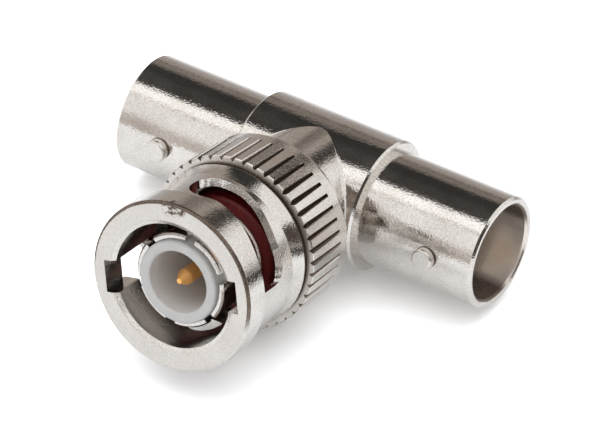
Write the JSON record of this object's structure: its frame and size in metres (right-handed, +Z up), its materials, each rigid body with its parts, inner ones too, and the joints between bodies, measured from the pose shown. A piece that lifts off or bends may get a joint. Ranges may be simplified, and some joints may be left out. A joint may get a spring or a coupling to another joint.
{
  "type": "coaxial splitter",
  "caption": "Coaxial tee splitter: a bayonet plug with a knurled coupling nut, and a bayonet jack with studs at each end of its round metal body.",
  "frame": {"origin": "middle of the footprint, on the surface that the splitter rests on", "axes": "+X along the jacks towards the right one, +Z up, plug towards -Y and tilted nose up about the X axis"},
  "size_m": [0.0342, 0.0296, 0.0174],
  "materials": {
    "nickel": "bright nickel plate on brass, slightly grained",
    "gilt": "gold plated brass",
    "dielectric": "light grey fluoropolymer, waxy",
    "silicone": "dark red silicone rubber",
    "spring_metal": "plain spring strip"
  },
  "bodies": {
    "tee": {"tee_body": "nickel", "tee_junction": "gilt", "core_insulator": "dielectric", "jack_barrel_right": "nickel", "jack_insulator_right": "dielectric", "socket_contact_right": "gilt", "bayonet_stud_right_front": "nickel", "bayonet_stud_right_back": "nickel", "jack_barrel_left": "nickel", "jack_insulator_left": "dielectric", "socket_contact_left": "gilt", "bayonet_stud_left_front": "nickel", "bayonet_stud_left_back": "nickel", "plug_pin": "gilt", "plug_insulator": "dielectric", "plug_outer_contact": "nickel", "gasket": "silicone", "thrust_washer_front": "spring_metal", "wave_washer_1": "spring_metal", "wave_washer_2": "spring_metal", "wave_washer_3": "spring_metal"},
    "float": {"thrust_washer_rear": "spring_metal"},
    "nut": {"coupling_nut": "nickel"}
  },
  "joints": [
    {"name": "nut_float", "type": "slide", "parent": "tee", "child": "float", "axis": [0, -0.9802, 0.198], "range_m": [0, 0.0016], "stiffness_N_per_m": 1000, "deforming": ["wave_washer_1", "wave_washer_2", "wave_washer_3"]},
    {"name": "nut_turn", "type": "hinge", "parent": "float", "child": "nut", "pos_m": [0, 0.00179, 0.00713], "axis": [0, -0.9802, 0.198], "continuous": true}
  ]
}
